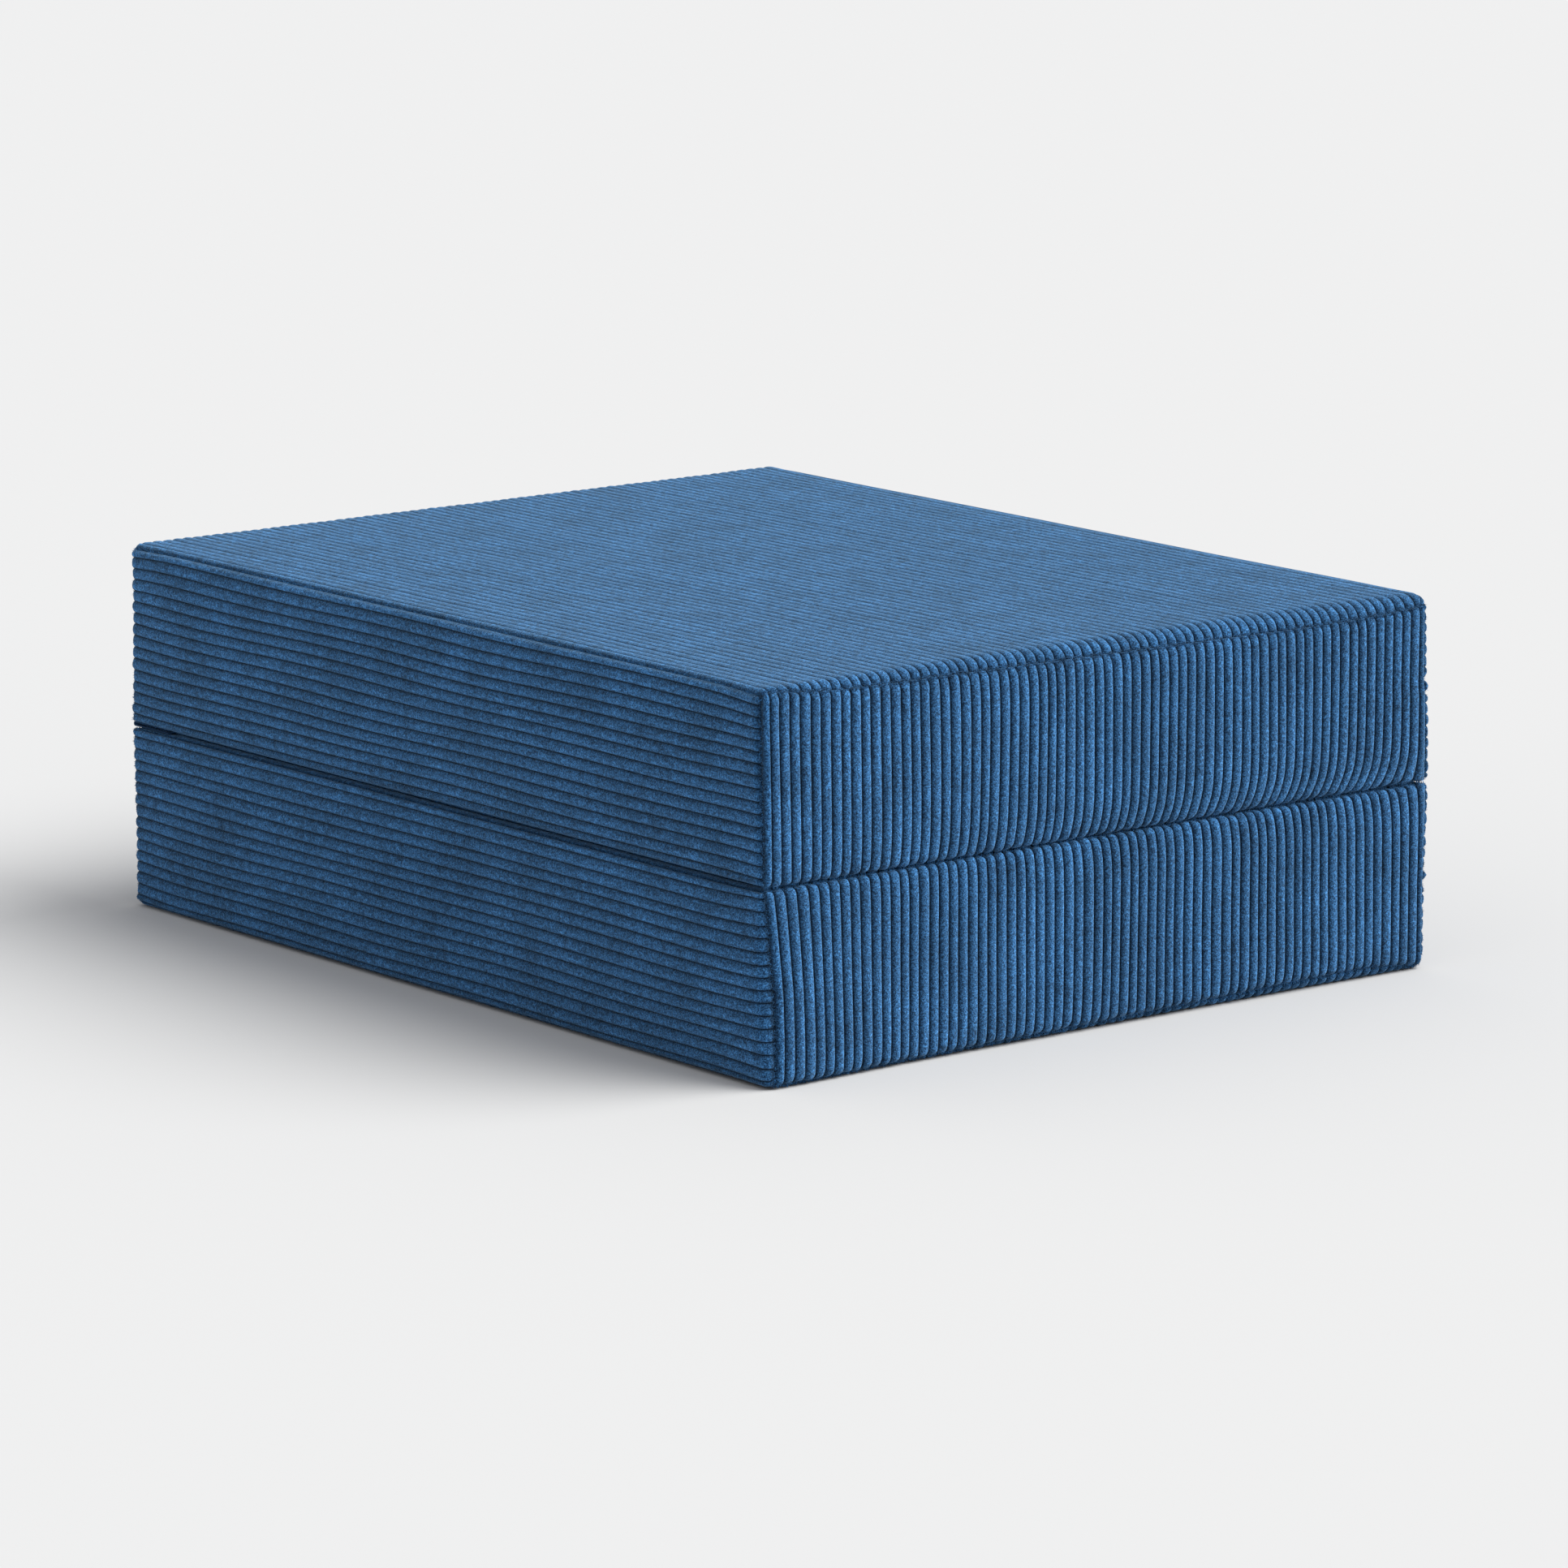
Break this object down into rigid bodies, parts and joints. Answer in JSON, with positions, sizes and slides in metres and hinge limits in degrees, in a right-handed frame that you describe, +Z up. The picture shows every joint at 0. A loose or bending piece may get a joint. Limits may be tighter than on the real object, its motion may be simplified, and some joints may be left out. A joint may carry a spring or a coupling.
{
  "type": "folding futon mattress",
  "caption": "Folding foam mattress in ribbed corduroy: equal slabs joined by a cloth hinge, folded into a block or opened flat into a bed, with zipped covers.",
  "frame": {"origin": "centre of the folded mattress's footprint, on the floor", "axes": "+Z up; +Y along the length, towards the hinge at the back; +X across the width, towards the zips"},
  "size_m": [0.8, 0.999, 0.36],
  "materials": {
    "corduroy_cover": "matte wide-wale corduroy",
    "support_foam": "matte",
    "comfort_foam": "matte",
    "liner_cloth": "matte",
    "hinge_cloth": "matte",
    "zip_tape": "matte",
    "zip_coil": "satin",
    "zip_metal": "satin"
  },
  "bodies": {
    "lower_slab": {"lower_outer_face_panel": "corduroy_cover", "lower_inner_face_panel": "corduroy_cover", "lower_front_end_panel": "corduroy_cover", "lower_back_end_panel": "corduroy_cover", "lower_left_side_panel": "corduroy_cover", "lower_right_side_outer_strip": "corduroy_cover", "lower_right_side_inner_strip": "corduroy_cover", "lower_zip_front_end_tab": "corduroy_cover", "lower_zip_back_end_tab": "corduroy_cover", "lower_support_foam": "support_foam", "lower_comfort_foam": "comfort_foam", "lower_liner_bag": "liner_cloth", "lower_hinge_leaf": "hinge_cloth", "lower_zip_outer_tape": "zip_tape", "lower_zip_outer_coil": "zip_coil", "lower_zip_inner_tape": "zip_tape", "lower_zip_inner_coil": "zip_coil", "lower_zip_front_stop": "zip_metal", "lower_zip_back_stop": "zip_metal"},
    "lower_slider": {"lower_zip_slider": "zip_metal"},
    "lower_pull": {"lower_zip_pull": "zip_metal"},
    "upper_slab": {"upper_outer_face_panel": "corduroy_cover", "upper_inner_face_panel": "corduroy_cover", "upper_front_end_panel": "corduroy_cover", "upper_back_end_panel": "corduroy_cover", "upper_left_side_panel": "corduroy_cover", "upper_right_side_outer_strip": "corduroy_cover", "upper_right_side_inner_strip": "corduroy_cover", "upper_zip_front_end_tab": "corduroy_cover", "upper_zip_back_end_tab": "corduroy_cover", "upper_support_foam": "support_foam", "upper_comfort_foam": "comfort_foam", "upper_liner_bag": "liner_cloth", "upper_hinge_leaf": "hinge_cloth", "upper_zip_outer_tape": "zip_tape", "upper_zip_outer_coil": "zip_coil", "upper_zip_inner_tape": "zip_tape", "upper_zip_inner_coil": "zip_coil", "upper_zip_front_stop": "zip_metal", "upper_zip_back_stop": "zip_metal"},
    "upper_slider": {"upper_zip_slider": "zip_metal"},
    "upper_pull": {"upper_zip_pull": "zip_metal"}
  },
  "joints": [
    {"name": "fold", "type": "hinge", "parent": "lower_slab", "child": "upper_slab", "pos_m": [0, 0.5, 0.18], "axis": [-1, 0, 0], "range_deg": [0, 180]},
    {"name": "lower_zip_slide", "type": "slide", "parent": "lower_slab", "child": "lower_slider", "axis": [0, 1, 0], "range_m": [0, 0.82]},
    {"name": "lower_pull_swing", "type": "hinge", "parent": "lower_slider", "child": "lower_pull", "pos_m": [0.3982, -0.41, 0.0891], "axis": [0, 0, -1], "range_deg": [0, 170]},
    {"name": "upper_zip_slide", "type": "slide", "parent": "upper_slab", "child": "upper_slider", "axis": [0, 1, 0], "range_m": [0, 0.82]},
    {"name": "upper_pull_swing", "type": "hinge", "parent": "upper_slider", "child": "upper_pull", "pos_m": [0.3982, -0.41, 0.2709], "axis": [0, 0, -1], "range_deg": [0, 170]}
  ]
}
